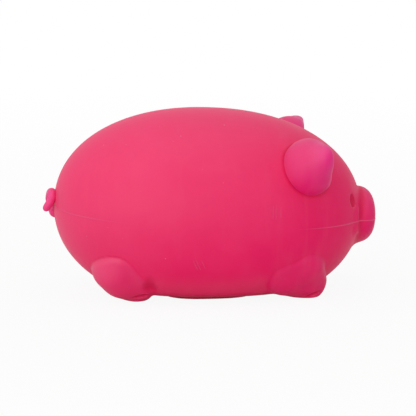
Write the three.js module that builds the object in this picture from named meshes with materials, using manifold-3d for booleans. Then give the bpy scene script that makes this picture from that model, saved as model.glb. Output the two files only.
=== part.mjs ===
// Pig squishy toy: a hand-size squeeze toy, one elastomer skin round a dough-like filling.
// Millimetres, +Z up, nose towards +X. The origin is the centre of the base pad's underside.
// The skin is one moulding. It is built here as the pieces that a squeeze moves apart: the upper
// and lower halves of the body, which meet at the mould's parting line, and the ears, snout,
// tail and legs that are moulded onto them.
import * as THREE from 'three';
import { mergeVertices } from 'three/addons/utils/BufferGeometryUtils.js';
import Module from 'manifold-3d';

// Body: an egg with full ends, pitched nose down, its belly pressed flat by its own weight
const bodyLength = 111;
const bodyWidth = 76;
const bodyHeight = 72.2;
const bodyFullness = 2.15; // power of the long outline; 2 is a plain ellipse
const bodyPitch = 3.1; // degrees
const bellySag = 7.35; // how much of the egg's height the flat belly takes off
const bellyRounding = 4;
const skinWall = 3;
const partingDrop = 0.6; // the parting line runs this far under the egg's long axis

// Clearance between mouldings that touch on the real toy
const seam = 0.3;

// Filling port in the belly, its press-in plug and the round pad glued over both
const portRadius = 4;
const plugBarb = 1.8; // how far the plug's barb reaches past the port's wall
const plugBarbHeight = 3;
const plugNose = 0.8; // the barb's narrow end, as a share of the shank
const padRadius = 15.5;
const padThickness = 1.7;
const padEdge = 0.6;

// Eyes: round dents beside the snout
const eyeAlong = 0.9; // share of the half length, from the middle to the nose
const eyeAngle = 25; // degrees above the egg's axis, seen from the front
const eyeRadius = 2.4;
const eyeDepth = 0.9;

// Snout: a short round-edged oval drum with two nostrils
const snoutWidth = 24.4;
const snoutHeight = 19.8;
const snoutReach = 4.9; // how far its face stands out of the egg
const snoutRounding = 6;
const snoutDrop = 0.6;
const nostrilSpread = 6.8;
const nostrilWidth = 2.8;
const nostrilHeight = 4.4;
const nostrilDepth = 1.3;

// Tail: one curl lying on the rump, thinning to a tip that turns outwards
const tailRadius = 4.3; // of the curl, to the middle of its rod
const tailInwards = 1; // how much tighter the curl has become at its tip
const tailRod = 2.3; // half the rod's thickness at its root
const tailTip = 1.3;
const tailLift = 1; // how far the middle of the rod stands off the rump
const tailSink = 2.2; // how far the root's middle lies under the rump
const tailKick = 2.1; // how far the tip turns outwards
const tailDrop = 0.4;
const tailStart = -80; // degrees round the curl, from the toy's left and up
const tailSweep = 290;
const tailRisen = 0.35; // share of the curl by which it has come out of the rump
const tailKickFrom = 0.7; // share of the curl where its tip starts to turn out
const tailEndRound = 0.7; // how far its rounded ends reach, as a share of the rod

// Ears: a ball drawn out to a soft point, open to the front like a scoop
const earFromNose = 22.4; // from the egg's front end back to the ball's middle
const earFromSide = 12.8; // in from the egg's side
const earUnderTop = 17.65; // down from the egg's top
const earHalfLength = 9.4;
const earHalfWidth = 11;
const earHalfHeight = 10.2;
const earPoint = 0.45; // how far the tip is drawn out, as a share of the ball
const earTipRise = 29; // degrees that the tip points up from level
const earPointPower = 10;
const earRimX = 6.3; // the open rim, in front of the ball's middle
const earToeIn = 9; // degrees that the rim turns towards the head
const earLean = 7; // degrees that the rim leans back at its top
const earWall = 2.6;

// Legs: each is the skin stretched over three balls, whose middles lie in from the egg's nearer
// end (1 front, -1 rear) and side. The feet reach under the ground, where the soles are flat.
const frontLeg = {
  end: 1,
  elbow: { fromEnd: 30.5, fromSide: 17.5, z: 8.4, radius: 5.4 },
  shoulder: { fromEnd: 22.5, fromSide: 16, z: 13.2, radius: 4.5 },
  foot: { fromEnd: 20.5, fromSide: 22.5, z: 4.8, radius: 5.2 },
};
const rearLeg = {
  end: -1,
  haunch: { fromEnd: 20.3, fromSide: 19.5, z: 12, radius: 6.6 },
  hock: { fromEnd: 23.6, fromSide: 21, z: 8.1, radius: 6.3 },
  foot: { fromEnd: 27.9, fromSide: 22, z: 4.9, radius: 5.3 },
};

// How finely the forms are faceted
const bodyAround = 32;
const bodyAlong = 20;
const limbAround = 18;
const snoutArc = 5;
const snoutAround = 26;
const earAround = 22;
const dentAround = 12;
const tailSteps = 18;
const tailSides = 8;
const weld = 1e-4; // points closer than this are one
const tolerance = 0.01; // faces flatter than this are joined

const bodyPink = 0xe62e64;
const limbPink = 0xe23869;
const padPink = 0xd02a56;
const plugPink = 0xd9486f;
const doughCream = 0xf3d9c9;
const satin = 0.5; // roughness of the moulded skin
const dull = 0.6;
const doughy = 0.8;

const bodyMiddleZ = padThickness + bodyHeight / 2 - bellySag;
const pitch = THREE.MathUtils.degToRad(bodyPitch);
const large = bodyLength * 2;

const wasm = await Module();
wasm.setup();

// A closed geometry as a solid that can be joined and cut
function solid(geometry) {
  const bare = geometry.clone();
  bare.deleteAttribute('normal');
  bare.deleteAttribute('uv');
  const merged = mergeVertices(bare, weld);
  return new wasm.Manifold(new wasm.Mesh({
    numProp: 3,
    vertProperties: new Float32Array(merged.attributes.position.array),
    triVerts: new Uint32Array(merged.index.array),
  }));
}

function geometryOf(manifold) {
  const mesh = manifold.simplify(tolerance).getMesh();
  const geometry = new THREE.BufferGeometry();
  geometry.setAttribute('position', new THREE.BufferAttribute(mesh.vertProperties, 3));
  geometry.setIndex(new THREE.BufferAttribute(mesh.triVerts, 1));
  geometry.computeVertexNormals();
  return geometry;
}

function material(color, roughness) {
  return new THREE.MeshStandardMaterial({ color, roughness, metalness: 0 });
}

// Moves a geometry from the egg's own frame, with its long axis on X, to the toy's
function seatOnBody(geometry) {
  return geometry.rotateY(pitch).translate(0, 0, bodyMiddleZ);
}

// Radius of the egg's outline at a share of its half length, as a share of its widest
function outlineAt(along) {
  return Math.pow(1 - Math.pow(Math.abs(along), bodyFullness), 1 / bodyFullness);
}

// The height that the sagging belly gives a point: flat at the floor, rounded up to the sides
function sagged(z, floor) {
  if (z > floor + bellyRounding) return z;
  if (z < floor - bellyRounding) return floor;
  return floor + (z - floor + bellyRounding) ** 2 / (4 * bellyRounding);
}

// The egg's surface, moved inwards by inset all over
function bodyGeometry(inset) {
  const geometry = new THREE.SphereGeometry(1, bodyAround, bodyAlong);
  geometry.rotateX(Math.PI / bodyAround).rotateZ(-Math.PI / 2);
  const halfLength = bodyLength / 2 - inset;
  const halfWidth = bodyWidth / 2 - inset;
  const halfHeight = bodyHeight / 2 - inset;
  const power = 2 / bodyFullness;
  const position = geometry.attributes.position;
  for (let i = 0; i < position.count; i++) {
    const x = position.getX(i);
    const y = position.getY(i);
    const z = position.getZ(i);
    const ring = Math.hypot(y, z);
    const swell = ring > 1e-6 ? Math.pow(ring, power) / ring : 0;
    const along = Math.sign(x) * Math.pow(Math.abs(x), power);
    position.setXYZ(i, along * halfLength, y * swell * halfWidth, z * swell * halfHeight);
  }
  seatOnBody(geometry);
  for (let i = 0; i < position.count; i++) {
    position.setZ(i, sagged(position.getZ(i), padThickness + inset));
  }
  return geometry;
}

// A ball stretched to three half sizes, at a place in the geometry's own frame
function ellipsoid(halfX, halfY, halfZ, segments = limbAround) {
  return new THREE.SphereGeometry(1, segments, segments / 2).scale(halfX, halfY, halfZ);
}

// Everything on one side of the parting plane, and half a seam more
function beyondParting(side) {
  const block = new THREE.BoxGeometry(large, large, large);
  block.translate(0, 0, side * (large / 2 - seam / 2) - partingDrop);
  return solid(seatOnBody(block));
}

// A revolved geometry whose profile is given as [radius, height] pairs, about Z
function turned(profile, segments) {
  const lathe = new THREE.LatheGeometry(profile.map(([r, h]) => new THREE.Vector2(r, h)), segments);
  return lathe.rotateX(Math.PI / 2);
}

// Points of a quarter or other arc in a profile, from one angle to another, in radians
function arc(centreR, centreH, radius, from, to, steps) {
  return Array.from({ length: steps + 1 }, (_, i) => {
    const angle = from + (to - from) * i / steps;
    return [centreR + radius * Math.cos(angle), centreH + radius * Math.sin(angle)];
  });
}

const grownBody = solid(bodyGeometry(-seam));

// The press-in plug: a shank in the port and a barb behind the skin, grown by a clearance
function plugGeometry(clearance) {
  const shank = portRadius - seam + clearance;
  const barb = portRadius + plugBarb + clearance;
  const shoulder = padThickness + skinWall + seam - clearance;
  const top = shoulder + plugBarbHeight + 2 * clearance;
  return turned([
    [0, padThickness - clearance], [shank, padThickness - clearance], [shank, shoulder],
    [barb, shoulder], [shank * plugNose, top], [0, top],
  ], limbAround);
}

function padGeometry() {
  const edge = arc(padRadius - padEdge, padEdge, padEdge, -Math.PI / 2, 0, 3);
  return turned([[0, 0], ...edge, [padRadius, padThickness], [0, padThickness]], bodyAround);
}

// The two round eye dents in the egg's surface
function eyeDents() {
  const angle = THREE.MathUtils.degToRad(eyeAngle);
  const ring = outlineAt(eyeAlong);
  return [-1, 1].map((side) => {
    const dent = ellipsoid(eyeDepth, eyeRadius, eyeRadius, dentAround);
    const place = new THREE.Vector3(
      eyeAlong * bodyLength / 2,
      side * Math.cos(angle) * ring * bodyWidth / 2,
      Math.sin(angle) * ring * bodyHeight / 2,
    );
    // the surface's slope there, from the outline's own power law
    const slope = Math.pow(eyeAlong, bodyFullness - 1) / Math.pow(ring, bodyFullness - 1);
    const normal = new THREE.Vector3(
      slope / bodyLength,
      side * Math.cos(angle) / bodyWidth,
      Math.sin(angle) / bodyHeight,
    ).normalize();
    dent.applyQuaternion(new THREE.Quaternion().setFromUnitVectors(new THREE.Vector3(1, 0, 0), normal));
    dent.translate(place.x, place.y, place.z);
    return solid(seatOnBody(dent));
  });
}

function snoutGeometry() {
  const face = bodyLength / 2 + snoutReach;
  const radius = snoutHeight / 2;
  const root = bodyLength / 2 - radius;
  const rounding = snoutRounding;
  const edge = arc(radius - rounding, face - rounding, rounding, 0, Math.PI / 2, snoutArc);
  const drum = turned([[0, root], [radius, root], ...edge, [0, face]], snoutAround);
  drum.rotateY(Math.PI / 2).scale(1, snoutWidth / snoutHeight, 1).translate(0, 0, -snoutDrop);
  let snout = solid(seatOnBody(drum));
  for (const side of [-1, 1]) {
    const nostril = ellipsoid(nostrilDepth, nostrilWidth / 2, nostrilHeight / 2, dentAround);
    nostril.translate(face, side * nostrilSpread / 2, -snoutDrop);
    snout = snout.subtract(solid(seatOnBody(nostril)));
  }
  return geometryOf(snout.subtract(grownBody));
}

// A tapered rod along the curl: rings of points round each step, closed by a point at each end
function tailGeometry() {
  const points = [];
  const radii = [];
  for (let i = 0; i <= tailSteps; i++) {
    const share = i / tailSteps;
    const angle = THREE.MathUtils.degToRad(tailStart + tailSweep * share);
    const radius = tailRadius - tailInwards * share;
    const risen = THREE.MathUtils.smoothstep(share, 0, tailRisen);
    const lift = THREE.MathUtils.lerp(-tailSink, tailLift, risen);
    const kick = tailKick * THREE.MathUtils.smoothstep(share, tailKickFrom, 1);
    points.push(new THREE.Vector3(
      -bodyLength / 2 - lift - kick,
      radius * Math.cos(angle),
      radius * Math.sin(angle) - tailDrop,
    ));
    radii.push(THREE.MathUtils.lerp(tailRod, tailTip, share));
  }
  const curve = new THREE.CatmullRomCurve3(points);
  const position = [];
  const index = [];
  const outwards = new THREE.Vector3(-1, 0, 0);
  const ring = (share, radius) => {
    const centre = curve.getPoint(share);
    const tangent = curve.getTangent(share);
    const side = new THREE.Vector3().crossVectors(tangent, outwards).normalize();
    const up = new THREE.Vector3().crossVectors(side, tangent);
    for (let k = 0; k < tailSides; k++) {
      const turn = 2 * Math.PI * k / tailSides;
      const point = centre.clone()
        .addScaledVector(side, radius * Math.cos(turn))
        .addScaledVector(up, radius * Math.sin(turn));
      position.push(point.x, point.y, point.z);
    }
  };
  for (let i = 0; i <= tailSteps; i++) ring(i / tailSteps, radii[i]);
  for (let i = 0; i < tailSteps; i++) {
    for (let k = 0; k < tailSides; k++) {
      const a = i * tailSides + k;
      const b = i * tailSides + (k + 1) % tailSides;
      index.push(a, a + tailSides, b, b, a + tailSides, b + tailSides);
    }
  }
  // rounded ends: one point beyond each last ring
  const ends = [[0, -1, 0], [1, 1, tailSteps]];
  for (const [share, direction, ringIndex] of ends) {
    const centre = curve.getPoint(share);
    centre.addScaledVector(curve.getTangent(share), direction * radii[ringIndex] * tailEndRound);
    const apex = position.length / 3;
    position.push(centre.x, centre.y, centre.z);
    for (let k = 0; k < tailSides; k++) {
      const a = ringIndex * tailSides + k;
      const b = ringIndex * tailSides + (k + 1) % tailSides;
      index.push(...(direction > 0 ? [b, a, apex] : [a, b, apex]));
    }
  }
  const geometry = new THREE.BufferGeometry();
  geometry.setAttribute('position', new THREE.Float32BufferAttribute(position, 3));
  geometry.setIndex(index);
  return geometryOf(solid(seatOnBody(geometry)).subtract(grownBody));
}

// One ear, side +1 for the toy's left
function earGeometry(side) {
  const rise = THREE.MathUtils.degToRad(earTipRise);
  const level = new THREE.Vector3(earRimX, earHalfWidth, 0).setLength(Math.cos(rise));
  const tip = level.setZ(Math.sin(rise));
  const ball = ellipsoid(1, 1, 1, earAround);
  const position = ball.attributes.position;
  const point = new THREE.Vector3();
  for (let i = 0; i < position.count; i++) {
    point.fromBufferAttribute(position, i);
    const towardsTip = Math.max(0, point.dot(tip));
    point.multiplyScalar(1 + earPoint * Math.pow(towardsTip, earPointPower));
    position.setXYZ(i, point.x, point.y, point.z);
  }
  const hollow = ball.clone();
  ball.scale(earHalfLength, earHalfWidth, earHalfHeight);
  hollow.scale(earHalfLength - earWall, earHalfWidth - earWall, earHalfHeight - earWall);
  hollow.translate(earWall, 0, 0);
  const front = new THREE.BoxGeometry(large, large, large).translate(large / 2, 0, 0);
  front.rotateY(-THREE.MathUtils.degToRad(earLean));
  front.rotateZ(-THREE.MathUtils.degToRad(earToeIn)).translate(earRimX, 0, 0);
  let ear = solid(ball).subtract(solid(hollow)).subtract(solid(front)).translate([
    bodyLength / 2 - earFromNose,
    bodyWidth / 2 - earFromSide,
    bodyMiddleZ + bodyHeight / 2 - earUnderTop,
  ]);
  if (side < 0) ear = ear.mirror([0, 1, 0]);
  return geometryOf(ear.subtract(grownBody));
}

// One leg, side +1 for the toy's left
function legGeometry({ end, ...joints }, side) {
  const balls = Object.values(joints).map(({ fromEnd, fromSide, z, radius }) => {
    const x = end * (bodyLength / 2 - fromEnd);
    const y = side * (bodyWidth / 2 - fromSide);
    return solid(ellipsoid(radius, radius, radius)).translate([x, y, z]);
  });
  const ground = new THREE.BoxGeometry(large, large, large).translate(0, 0, -large / 2);
  const limb = wasm.Manifold.hull(balls).subtract(solid(ground));
  return geometryOf(limb.subtract(grownBody));
}

const skinShell = solid(bodyGeometry(0)).subtract(solid(bodyGeometry(skinWall)));
const port = solid(new THREE.CylinderGeometry(portRadius, portRadius, bodyHeight / 2, limbAround)
  .rotateX(Math.PI / 2));
const [eyeRight, eyeLeft] = eyeDents();

const pieces = {
  skin_upper: [
    geometryOf(skinShell.subtract(beyondParting(-1)).subtract(eyeRight).subtract(eyeLeft)),
    material(bodyPink, satin),
  ],
  skin_lower: [
    geometryOf(skinShell.subtract(beyondParting(1)).subtract(port)),
    material(bodyPink, satin),
  ],
  filling: [
    geometryOf(solid(bodyGeometry(skinWall + seam)).subtract(solid(plugGeometry(seam)))),
    material(doughCream, doughy),
  ],
  filling_plug: [plugGeometry(0), material(plugPink, dull)],
  base_pad: [padGeometry(), material(padPink, dull)],
  snout: [snoutGeometry(), material(limbPink, satin)],
  tail: [tailGeometry(), material(limbPink, satin)],
};
for (const [name, side] of [['left', 1], ['right', -1]]) {
  pieces[`ear_${name}`] = [earGeometry(side), material(limbPink, satin)];
  pieces[`leg_front_${name}`] = [legGeometry(frontLeg, side), material(limbPink, satin)];
  pieces[`leg_rear_${name}`] = [legGeometry(rearLeg, side), material(limbPink, satin)];
}

const pig = new THREE.Group();
for (const [name, [geometry, surface]] of Object.entries(pieces)) {
  const mesh = new THREE.Mesh(geometry, surface);
  mesh.name = name;
  pig.add(mesh);
}

export default pig;
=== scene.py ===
"""Pig squishy toy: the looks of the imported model, laid out as an add-on and run as a script.

The toy is one satin elastomer moulding over a soft dough. Body, legs and snout are one skin, wrapped
over a field of rounded solids. The ears, the tail, the parting line and the marks of use are pieces
of their own. Lengths are in metres, +Z is up and the nose points towards +X.
"""

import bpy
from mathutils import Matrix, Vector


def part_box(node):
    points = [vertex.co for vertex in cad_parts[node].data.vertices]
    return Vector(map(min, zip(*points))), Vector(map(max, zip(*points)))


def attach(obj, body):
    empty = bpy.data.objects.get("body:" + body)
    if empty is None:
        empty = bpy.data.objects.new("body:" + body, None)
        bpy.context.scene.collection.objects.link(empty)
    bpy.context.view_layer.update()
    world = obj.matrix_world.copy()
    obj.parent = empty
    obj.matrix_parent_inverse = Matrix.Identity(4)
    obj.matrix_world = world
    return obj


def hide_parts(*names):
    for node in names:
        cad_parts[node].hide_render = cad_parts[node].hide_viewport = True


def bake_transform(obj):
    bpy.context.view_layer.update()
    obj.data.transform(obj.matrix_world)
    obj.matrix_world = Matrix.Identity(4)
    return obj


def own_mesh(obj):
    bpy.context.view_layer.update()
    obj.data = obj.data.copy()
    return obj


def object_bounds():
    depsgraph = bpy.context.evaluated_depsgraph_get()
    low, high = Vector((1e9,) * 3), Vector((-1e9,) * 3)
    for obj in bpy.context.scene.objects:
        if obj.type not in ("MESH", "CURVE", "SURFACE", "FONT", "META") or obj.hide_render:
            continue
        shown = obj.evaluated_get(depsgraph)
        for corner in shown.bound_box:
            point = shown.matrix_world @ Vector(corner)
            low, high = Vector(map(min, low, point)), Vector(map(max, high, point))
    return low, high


bl_info = {
    "name": "Pig Squishy Toy",
    "version": (1, 0, 0),
    "blender": (4, 5, 0),
    "location": "3D View > Sidebar > Pig Toy",
    "description": "Builds a moulded pig squeeze toy with its finishes and a plain studio",
    "category": "Add Mesh",
}

import math

import bpy
import numpy as np
from bpy.props import FloatProperty, FloatVectorProperty, IntProperty, PointerProperty
from bpy.types import Operator, Panel, PropertyGroup
from mathutils import Vector

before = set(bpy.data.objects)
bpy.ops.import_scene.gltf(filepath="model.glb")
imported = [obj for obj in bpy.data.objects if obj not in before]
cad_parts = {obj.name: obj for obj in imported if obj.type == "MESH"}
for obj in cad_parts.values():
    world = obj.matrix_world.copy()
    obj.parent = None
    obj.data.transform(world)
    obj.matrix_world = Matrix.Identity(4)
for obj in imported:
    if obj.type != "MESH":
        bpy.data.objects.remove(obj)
CAD_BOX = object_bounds()
MM = 0.001

# What the frame says of the pieces that are built elsewhere
PAD_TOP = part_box("base_pad")[1].z
PAD_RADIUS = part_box("base_pad")[1].x

# Clearances, scuffs in a group, and the name of the one rubber that all skin pieces share
PAD_GAP = 0.1 * MM
DOUGH_GAP = 0.3 * MM
EAR_GAP = 1 * MM
STROKES = 3
SKIN_MATERIAL = "moulded satin TPR"


def length(description, millimetres):
    """A property that holds a length."""
    return FloatProperty(
        description=description, default=millimetres * MM, unit="LENGTH", precision=5
    )


def place(description, millimetres):
    """A property that holds a point, or a ball: its middle and then its radius."""
    return FloatVectorProperty(
        description=description,
        default=[c * MM for c in millimetres],
        size=len(millimetres),
        subtype="XYZ",
        unit="LENGTH",
        precision=5,
    )


def angle(description, degrees):
    """A property that holds an angle."""
    return FloatProperty(
        description=description, default=math.radians(degrees), subtype="ANGLE"
    )


def share(description, default):
    """A property that holds a plain number."""
    return FloatProperty(description=description, default=default, min=0.0)


def linear(hexadecimal):
    """The linear colour of an sRGB hex value."""
    channels = [int(hexadecimal[i : i + 2], 16) / 255 for i in (1, 3, 5)]
    return [c / 12.92 if c <= 0.04045 else ((c + 0.055) / 1.055) ** 2.4 for c in channels]


def colour(description, hexadecimal):
    """A property that holds a colour, given as an sRGB hex value."""
    return FloatVectorProperty(
        description=description,
        default=linear(hexadecimal),
        size=3,
        subtype="COLOR",
        min=0.0,
        max=1.0,
    )


class EggSizes(PropertyGroup):
    """The body: an egg with full ends, pitched nose down and pressed flat by its own weight."""

    long: length("Egg from rump to nose", 111)
    wide: length("Egg from side to side", 76)
    high: length("Egg from belly to back, before it sags", 72.2)
    middle: length("Height of the egg's middle above the ground", 30.45)
    fullness: share("Power of the long outline; 2 is a plain ellipse", 2.15)
    pitch: angle("How far the nose points down", 3.1)
    rounding: length("Rounding between the flat belly and the sides", 2.5)
    bulge: place("Half sizes of the belly's bulge round the pad", (18, 17.5, 2.5))
    bulge_middle: place("Middle of the belly's bulge", (-0.3, 0, 2.8))
    bulge_power: share("Power of the bulge's outline; 2 is a plain ellipse", 2.8)
    bulge_rounding: length("Rounding of the bulge's rim", 0.8)
    wall: length("Thickness of the moulded skin", 3)
    parting: length("How far the parting line lies under the egg's long axis", 0.6)


class LegSizes(PropertyGroup):
    """A front and a rear leg on the toy's left: folded under it, with the foot at the front."""

    shoulder: place("Ball of the front leg's top", (33, 22, 13.2, 4.5))
    elbow: place("Ball of the front leg's back", (25, 20.5, 8.9, 5.4))
    front_foot: place("Ball of the front foot", (34.8, 15.5, 4.6, 5.3))
    haunch: place("Ball of the rear leg's back", (-35.2, 18.5, 11.4, 6.8))
    hock: place("Ball of the rear leg's bend", (-32.9, 17, 8.6, 6.3))
    rear_foot: place("Ball of the rear foot", (-27.6, 15.2, 5, 5.3))
    front_relief: length("How far the front leg stands out of the body's side", 0.5)
    rear_relief: length("How far the rear leg stands out of the body's side", 1.2)
    hollow_top: place("Ball of the rear hollow's top", (-24.3, 31.7, 11.5, 1.1))
    hollow_foot: place("Ball of the rear hollow's bottom", (-23.4, 24.9, 5.4, 2))
    relief_edge: length("Rounding of the relief's outline", 2.8)
    inner: length("Where the relief ends under the belly, from the middle", 13)
    knee: length("How softly the parts of a leg run into each other", 1.2)
    fillet: length("How softly the legs run into the body", 0.8)
    sole_edge: length("Rounding round the flat sole", 0.8)
    front_crease: place("Middle of the fold over the front sole", (35.8, 19, 1.9))
    rear_crease: place("Middle of the fold over the rear sole", (-25.9, 19.8, 2.8))
    crease_long: length("Length of the fold over each sole", 7.6)
    crease_high: length("Height of the fold over each sole", 1.7)
    crease_deep: length("Half depth of the ball that presses each fold", 0.85)
    front_crease_rise: angle("How far the front fold rises forwards", 20)
    rear_crease_rise: angle("How far the rear fold rises forwards", 12)


class FaceSizes(PropertyGroup):
    """The snout, its nostrils and the eye dents."""

    snout_wide: length("Snout from side to side", 25.6)
    snout_high: length("Snout from top to bottom", 20.3)
    snout_reach: length("How far the snout's face stands out of the egg", 4.7)
    snout_rounding: length("Rounding of the snout's rim", 5.4)
    snout_drop: length("How far the snout's middle lies under the egg's axis", 0.6)
    fold_top: length("Rounding of the fold over the snout", 1.1)
    fold_bottom: length("Rounding of the fold under the snout", 3.2)
    collar: length("Radius of the fold of skin beside the snout's root", 0.9)
    nostril_spread: length("Between the two nostrils' middles", 6.8)
    nostril_wide: length("Width of a nostril", 2.8)
    nostril_high: length("Height of a nostril", 4.4)
    nostril_deep: length("Half depth of a nostril's ball", 1.6)
    eye_along: share("Eye's place, as a share of the way from the middle to the nose", 0.905)
    eye_angle: angle("Eye's place above the egg's axis, seen from the front", 25)
    eye_radius: length("Radius of an eye dent", 2.5)
    eye_deep: length("Half depth of an eye dent's ball", 1.9)


class EarSizes(PropertyGroup):
    """The ears: a ball drawn out to a soft point, hollowed and open to the front."""

    middle: place("Middle of the left ear's ball", (33.1, 25.2, 48.9))
    half: place("Half length, width and height of the ball", (9.4, 11, 10.2))
    point: share("How far the tip is drawn out, as a share of the ball", 0.43)
    point_power: share("How narrow the drawn out tip is", 10)
    tip_rise: angle("How far the tip points up from level", 27.5)
    rim: length("How far the open rim lies in front of the ball's middle", 6.3)
    toe_in: angle("How far the rim turns towards the head", 9)
    lean: angle("How far the rim leans back at its top", 7)
    wall: length("Thickness of the ear", 2.6)
    lip: length("Rounding of the rim", 0.9)
    root: length("How deep the ear's root runs into the skin", 2.5)


class TailSizes(PropertyGroup):
    """The tail: one curl lying on the rump, thinning to a tip that turns outwards."""

    radius: length("Radius of the curl at its root, to the rod's middle", 4.3)
    inwards: length("How much tighter the curl is at its tip", 1)
    rod: length("Half the rod's thickness at its root", 2.3)
    tip: length("Half the rod's thickness at its tip", 1.3)
    lift: length("How far the rod's middle stands off the rump", 1)
    sink: length("How far the root's middle lies under the rump", 1)
    kick: length("How far the tip turns outwards", 2.1)
    drop: length("How far the curl's middle lies under the egg's axis", 0.4)
    start: angle("Where the curl starts, from the toy's left and up", -80)
    sweep: angle("How far round the curl goes", 300)


class Finish(PropertyGroup):
    """Colours and marks of the moulded skin."""

    body_pink: colour("The skin of the body and legs", "#ed1061")
    limb_pink: colour("The thinner skin of snout, ears and tail", "#e6126e")
    tip_pink: colour("The thin tips of the ears", "#f03a92")
    # painted sheen: this pale pink is laid on convex edges and beside the snout's root, besides the
    # random clouds of haze
    haze_and_sheen_pink: colour("The faint haze on the skin", "#ff5d8a")
    # painted shade: the pad is darkened for the shade under the belly
    shaded_pad_pink: colour("The disc under the belly", "#b00a3c")
    plug_pink: colour("The plug in the filling port", "#d9486f")
    dough: colour("The filling", "#f0dccb")
    tint_reach: length("How far behind the egg's nose the snout's tint begins", 1.5)
    lint: colour("Specks of dust on the skin", "#e59aa6")
    # painted shade: creases, the ears' roots, the eyes and the belly's rim are deepened to this pink
    crease_shade_pink: colour("The clean skin in a crease", "#dc0050")
    # painted light: this pale film is dust and painted sheen, laid on the side that faces the key
    # lamp, on the legs and low on the belly; it also draws the wipe marks
    dust: colour("Fine dust that has settled on the skin", "#ffe2ea")
    dust_and_sheen_share: share("How much of the dusty side is covered", 0.055)
    # the side with the painted sheen faces about the key soft box above the tail
    lit_side: FloatVectorProperty(
        description="The way that the dusty side faces", default=(-0.75, -0.1, 0.62)
    )
    slant_scuffs: place("Middle of the slanted scuffs", (-6.9, -35, 16.5))
    upright_scuffs: place("Middle of the upright scuffs", (20.2, -35, 35))
    scuff_long: length("Length of a scuff", 5.6)
    scuff_apart: length("From one scuff to the next", 1.5)
    scuff: length("Half the width of a scuff", 0.3)
    bead_pink: colour("The stretched bead of the parting line", "#f5648c")
    bead: length("Half the width of the parting line's bead", 0.3)
    bead_high: length("How far the parting line's bead stands out", 0.1)
    speck: length("Length of a speck of lint", 0.5)
    specks: IntProperty(description="Specks of lint per square metre", default=2600)
    seed: IntProperty(description="Seed of whatever is strewn at random", default=7)


class Studio(PropertyGroup):
    """The camera and the lamps."""

    azimuth: angle("How far round the camera stands; zero faces the right side", -6.3)
    elevation: angle("How far down the camera looks", 11)
    distance: length("From the egg's middle to the camera", 950)
    lens: share("Focal length in millimetres of film", 227.5)
    key: share("Power of the soft box above the tail, in watts", 1.4)
    fill: share("Power of the soft box left of the camera, in watts", 3.1)
    front: share("Power of the low soft box in front, in watts", 1.4)
    top: share("Power of the soft box overhead, in watts", 1.6)
    sky: share("Strength of the light from all round", 0.8)


class PigToy(PropertyGroup):
    """All sizes and colours of the toy."""

    egg: PointerProperty(type=EggSizes)
    legs: PointerProperty(type=LegSizes)
    face: PointerProperty(type=FaceSizes)
    ears: PointerProperty(type=EarSizes)
    tail: PointerProperty(type=TailSizes)
    finish: PointerProperty(type=Finish)
    studio: PointerProperty(type=Studio)


# Fields: each takes points as rows and gives about how far each lies outside a form, in metres

def smooth_max(a, b, rounding):
    """The larger of two fields, rounded where they meet."""
    overlap = np.maximum(rounding - np.abs(a - b), 0.0)
    return np.maximum(a, b) + overlap ** 2 / (4.0 * rounding)


def smooth_min(a, b, rounding):
    """The smaller of two fields, rounded where they meet."""
    return -smooth_max(-a, -b, rounding)


def corner(a, b):
    """Two fields that meet at a square corner, with true distances outside it."""
    return np.hypot(np.maximum(a, 0), np.maximum(b, 0)) + np.minimum(np.maximum(a, b), 0)


def smooth_step(low, high, value):
    """0 below low, 1 above high, and a smooth rise between."""
    t = np.clip((value - low) / (high - low), 0.0, 1.0)
    return t * t * (3.0 - 2.0 * t)


def lengths(rows):
    """The length of each row, never quite 0."""
    return np.maximum(np.linalg.norm(rows, axis=1), 1e-9)


def on_left(points):
    """Points with those of the toy's right side mirrored to its left."""
    return points * (1, 0, 1) + np.abs(points) * (0, 1, 0)


def stretched_ball(rel, half):
    """The field of a ball or disc stretched to half sizes, about the origin."""
    size = lengths(rel / half)
    return size * (size - 1) / lengths(rel / half ** 2)


def turned(points, rise):
    """Points turned about Y until their X rises by an angle."""
    x, y, z = points.T
    c, s = math.cos(rise), math.sin(rise)
    return np.stack([x * c - z * s, y, x * s + z * c], axis=1)


def to_egg(points, egg):
    """Points of the toy in the egg's own frame, whose X runs along the egg."""
    return turned(points - (0, 0, egg.middle), egg.pitch)


def from_egg(local, egg):
    """Points of the egg's own frame in the toy."""
    return turned(local, -egg.pitch) + (0, 0, egg.middle)


def egg_field(points, egg, inset=0.0):
    """The sagging egg, moved inwards by inset all over."""
    local = to_egg(points, egg)
    half = np.array((egg.long, egg.wide, egg.high)) / 2 - inset
    n = egg.fullness
    along = np.maximum(np.abs(local[:, 0]) / half[0], 1e-9)
    ring = np.maximum(np.hypot(local[:, 1] / half[1], local[:, 2] / half[2]), 1e-9)
    size = (along ** n + ring ** n) ** (1 / n)
    across = ring ** (n - 2) * np.hypot(local[:, 1] / half[1] ** 2, local[:, 2] / half[2] ** 2)
    slope = size ** (1 - n) * np.hypot(along ** (n - 1) / half[0], across)
    floor = PAD_TOP + inset - points[:, 2]
    return smooth_max((size - 1) / slope, floor, egg.rounding)


def belly_field(points, egg):
    """The egg with its belly bulging down round the pad, which keeps its own room."""
    rel = points - np.array(egg.bulge_middle)
    n = egg.bulge_power
    plan = np.abs(rel[:, :2] / np.array(egg.bulge)[:2])
    ring = ((plan[:, 0] ** n + plan[:, 1] ** n) ** (1 / n) - 1) * egg.bulge[1]
    rounding = egg.bulge_rounding
    bulge = corner(ring + rounding, np.abs(rel[:, 2]) - egg.bulge[2] + rounding)
    pad = np.maximum(np.hypot(points[:, 0], points[:, 1]) - PAD_RADIUS, points[:, 2] - PAD_TOP)
    whole = smooth_min(egg_field(points, egg), bulge - rounding, 1.5 * MM)
    return np.maximum(whole, PAD_GAP - pad)


def ellipsoid_field(points, middle, half, rise=0.0):
    """A ball stretched to three half sizes; rise turns its X up, in radians."""
    return stretched_ball(turned(points - middle, -rise), np.array(half))


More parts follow.
